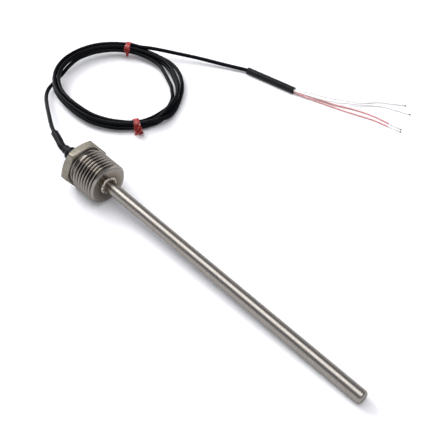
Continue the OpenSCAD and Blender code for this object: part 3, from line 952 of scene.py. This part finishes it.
# Twist ties: a flat band with a wire in its middle, wound round the bundle, its ends twisted
tieStock = {"bandThickness": 0.3, "tailThickness": 0.35, "uneven": 0.06}
ties = {
    "upper": {
        "along": 64.0, "aside": 0.9,
        "outline": [(-3.0, -0.9), (-2.9, -1.7), (-2.2, -2.2), (0, -2.3), (2.4, -2.2), (3.4, -1.7),
                    (3.7, -0.9), (3.5, 0.6), (3.0, 1.9), (1.7, 2.45), (0.2, 2.35), (-1.6, 2.15),
                    (-2.8, 0.6)],
        "bands": [{"size": 1, "width": 2.7, "skewDeg": 4, "seed": 3},
                  {"size": 0.985, "width": 2.7, "skewDeg": -14, "seed": 5}],
        "tail": {"start": (-2.5, 1.0), "headingDeg": 208, "dropDeg": 32, "length": 4.6, "width": 2.0,
                 "flare": -0.7, "twistDeg": 400}},
    "lower": {
        "along": 151.8, "aside": 0.0,
        "outline": [(-3.4, -0.9), (-3.2, -1.9), (-2.4, -2.7), (0, -2.8), (2.4, -2.7), (3.2, -1.8),
                    (3.5, -0.8), (3.1, 0.7), (2.4, 1.9), (1.1, 2.35), (-0.4, 2.3), (-2.0, 1.9),
                    (-3.1, 0.5)],
        "bands": [{"size": 1, "width": 2.97, "skewDeg": -5, "seed": 7},
                  {"size": 0.985, "width": 2.7, "skewDeg": 12, "seed": 9}],
        "tail": {"start": (1.6, 2.3), "headingDeg": 2, "dropDeg": 38, "length": 6.4, "width": 4.0,
                 "flare": 0.45, "twistDeg": 230}},
}


def ringFrame(along, aside):
    # local x out from the coil's middle, z up, y back along the coil
    origin = onRing(along, aside, 0)
    outward = (onRing(along, aside + 1, 0) - origin).normalized()
    upward = (onRing(along, aside, 1) - origin).normalized()
    axes = Matrix((outward, upward.cross(outward), upward)).transposed().to_4x4()
    return Matrix.Translation(origin) @ axes


def makeBand(outline, size, width, skewDeg, seed):
    band = drawOutline("band", [Vector((x * size, 0, z * size)) * mm for x, z in outline])
    endEdit()
    last = len(outline) - 1
    editChosen(band, "VERT", lambda vertex: vertex.index in (0, last))
    bpy.ops.mesh.edge_face_add()  # the edge that closes the outline
    bpy.ops.mesh.select_all(action="SELECT")
    bpy.ops.transform.translate(value=(0, -width / 2 * mm, 0))
    # the wire inside makes the middle of the band stand proud
    for share, growX, growZ in ((0.18, 1, 1), (0.2, 1, 1), (0.12, 1.05, 1.07),
                                (0.12, 1 / 1.05, 1 / 1.07), (0.2, 1, 1), (0.18, 1, 1)):
        extrudeBy((0, width * share * mm, 0))
        bpy.ops.transform.resize(value=(growX, 1, growZ), center_override=(0, 0, 0))
    bpy.ops.mesh.select_all(action="SELECT")
    bpy.ops.transform.vertex_random(offset=tieStock["uneven"] * mm, seed=seed)
    bpy.ops.transform.rotate(value=math.radians(skewDeg), orient_axis="Z", center_override=(0, 0, 0))
    bpy.ops.mesh.normals_make_consistent(inside=False)
    endEdit()
    thicken(band, tieStock["bandThickness"], 1)
    rounding = band.modifiers.new("rounding", "SUBSURF")
    rounding.levels = rounding.render_levels = 2
    applyAll(band)
    return band


def makeTail(start, headingDeg, dropDeg, length, width, flare, twistDeg):
    # two crossed strips, which taper or flare and then twist along their length
    strips = []
    for phase in (0, 90):
        bpy.ops.mesh.primitive_grid_add(x_subdivisions=40, y_subdivisions=4, size=mm)
        strip = bpy.context.object
        strip.scale = (length, width, 1)
        applyPlace(strip)
        editAll(strip)
        bpy.ops.transform.rotate(value=math.radians(phase), orient_axis="X", center_override=(0, 0, 0))
        endEdit()
        strips.append(strip)
    tail = joined("tail", strips, strips[0])
    thicken(tail, tieStock["tailThickness"], 0)
    deform(tail, "TAPER", flare)
    deform(tail, "TWIST", twistDeg)
    applyAll(tail)
    editAll(tail)
    bpy.ops.transform.translate(value=(length / 2 * mm, 0, 0))
    endEdit()
    turn = Matrix.Rotation(math.radians(headingDeg), 4, "Z") @ Matrix.Rotation(math.radians(dropDeg), 4, "Y")
    tail.matrix_world = Matrix.Translation(Vector((start[0], 0, start[1])) * mm) @ turn
    applyPlace(tail)
    return tail


def makeTie(name, tie):
    parts = [makeBand(tie["outline"], **band) for band in tie["bands"]]
    parts.append(makeTail(**tie["tail"]))
    whole = joined(name, parts, parts[0])
    whole.matrix_world = ringFrame(tie["along"], tie["aside"])
    applyPlace(whole)
    tidyMesh(whole)
    smooth(whole, 60)
    return whole


upperTie = makeTie("upperTie", ties["upper"])
lowerTie = makeTie("lowerTie", ties["lower"])
print("ties ready")


# Finishes of the pieces: the threaded part is turned, and the hexagon keeps the skin of its bar
dress(threadedHead, finishes["turnedSteel"], finishes["drawnBarSteel"])
for polygon in threadedHead.data.polygons:
    place = probePlace.inverted() @ polygon.center
    outside = math.hypot(place.x, place.y) > (head["crestRadius"] + 0.05) * mm
    if outside or place.z < (probe["shoulder"] - 0.4) * mm:
        polygon.material_index = 1
dress(groundSheath, finishes["groundSteel"])
dress(weldRing, finishes["weldSteel"])
dress(shrunkBoot, finishes["bootTube"])
dress(strainSleeve, finishes["bootTube"])
dress(junctionSleeve, finishes["shrunkTube"])
dress(upperTie, finishes["tieFilm"])
dress(lowerTie, finishes["tieFilm"])

# Finishes of the solids that stay, all inside the sheath
stayingNodes = {
    "resin_seal": "sealingResin", "sensing_chip": "ceramicBody", "chip_leads": "sensorLead",
    "powder_fill": "packedPowder", "guard_tube": "amberFilm", "heat_paste": "heatPaste",
    "splice_red": "crimpedSplice", "splice_white": "crimpedSplice",
    "core_red_a": "redInsulation", "core_red_b": "redInsulation",
    "core_white_a": "whiteInsulation", "core_white_b": "whiteInsulation",
}
for name, material in stayingNodes.items():
    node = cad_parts[name]
    if node.material_slots:
        node.material_slots[0].material = finishes[material]
    else:
        node.data.materials.append(finishes[material])


# Floor that turns up far behind, soft lamps and a plain grey room
studio = {
    "floorRadius": 3.0, "floorRise": 1.1, "floorColour": (0.75, 0.75, 0.77, 1), "floorGlow": 0.1,
    "floorDrop": 0.02, "floorSteps": (0.06, 0.14, 0.22, 0.30, 0.38), "floorSpread": 0.12,
    "floorFade": (0.3, 1.6), "roomGrey": 0.38, "roomColour": (0.95, 0.965, 1.05, 1),
    "lampAim": (-0.04, 0.05, 0),
    "keyPower": 8.8, "keySize": (1.5, 0.68), "keyFrom": (-0.1, -0.07, 0.99), "keyDistance": 0.9,
    "sidePower": 8.5, "sideSize": (0.5, 0.5), "sideFrom": (-0.8, -0.05, 0.6), "sideDistance": 1.1,
}


def makeFloor():
    bpy.ops.mesh.primitive_circle_add(vertices=128, radius=studio["floorRadius"], fill_type="NGON",
        location=(0, 0, -studio["floorDrop"] * mm))
    floor = bpy.context.object
    floor.name = "floorSweep"
    applyPlace(floor)
    editChosen(floor, "EDGE", lambda edge: True)
    for rise in studio["floorSteps"]:
        wider = 1.0 + studio["floorSpread"] * (1.1 - rise * 2.2)
        lift = (0, 0, rise * studio["floorRise"])
        bpy.ops.mesh.extrude_edges_move(TRANSFORM_OT_translate={"value": lift})
        bpy.ops.transform.resize(value=(wider, wider, 1), center_override=(0, 0, 0))
    endEdit()
    smooth(floor, 80)
    tree, shader = newMaterial("floorWhite", {
        "Roughness": 0.9, "Specular IOR Level": 0.1, "Base Color": studio["floorColour"],
        "Emission Color": (1, 1, 1, 1)})
    # what the camera and shiny steel see of the floor fades to white far from the object
    paths = addNode(tree, "ShaderNodeLightPath").outputs
    seen = mathNode(tree, "MAXIMUM", paths["Is Glossy Ray"], paths["Is Transmission Ray"])
    seen = mathNode(tree, "MAXIMUM", paths["Is Camera Ray"], seen)
    distance = addNode(tree, "ShaderNodeVectorMath", {0: objectVector(tree)}, operation="LENGTH")
    glow = rangeNode(tree, distance.outputs["Value"], *studio["floorFade"], studio["floorGlow"], 1.0)
    tree.links.new(mathNode(tree, "MULTIPLY", seen, glow), shader.inputs["Emission Strength"])
    dress(floor, finishes["floorWhite"])


def addSoftbox(name):
    # a rectangle with its long side along the probe, facing the middle of the object
    data = bpy.data.lights.new(name + "Softbox", "AREA")
    data.shape = "RECTANGLE"
    data.size, data.size_y = studio[name + "Size"]
    data.energy = studio[name + "Power"]
    lamp = bpy.data.objects.new(name + "Softbox", data)
    towards = Vector(studio[name + "From"]).normalized()
    across = towards.cross(Vector((1, 0, 0))).normalized()
    axes = Matrix((across.cross(towards), across, towards)).transposed().to_4x4()
    place = Vector(studio["lampAim"]) + towards * studio[name + "Distance"]
    lamp.matrix_world = Matrix.Translation(place) @ axes
    bpy.context.collection.objects.link(lamp)


makeFloor()
for name in ("key", "side"):
    addSoftbox(name)
world = bpy.data.worlds.new("room")
world.use_nodes = True
background = world.node_tree.nodes["Background"]
background.inputs["Color"].default_value = studio["roomColour"]
background.inputs["Strength"].default_value = studio["roomGrey"]
bpy.context.scene.world = world
bpy.context.scene.view_settings.view_transform = "Standard"
print("floor and lamps ready")


# Each piece goes under the root body, and the solids of model.glb that it replaces are hidden
finishPiece(threadedHead, "steel", "hex_head")
finishPiece(groundSheath, "steel", "sheath_tube")
finishPiece(weldRing, "weld", "weld_bead")
finishPiece(shrunkBoot, "boot", "end_boot")
finishPiece(strainSleeve, "sleeve", "strain_sleeve")
finishPiece(junctionSleeve, "sleeve", "junction_sleeve")
finishPiece(probeCable, "cable_jacket", "cable_lead", "cable_coil", "cable_run")
finishPiece(upperTie, "tie", "tie_upper")
finishPiece(lowerTie, "tie", "tie_lower")
for name, wire in wires.items():
    finishPiece(wireCords[name], "wire_" + wire["colour"], "wire_" + wire["node"])
    finishPiece(wireEnds[name], "bare_wire", "bare_" + wire["node"])
    points = [p.co for p in wireCords[name].data.splines[0].bezier_points]
points = [p.co for p in probeCable.data.splines[0].bezier_points]
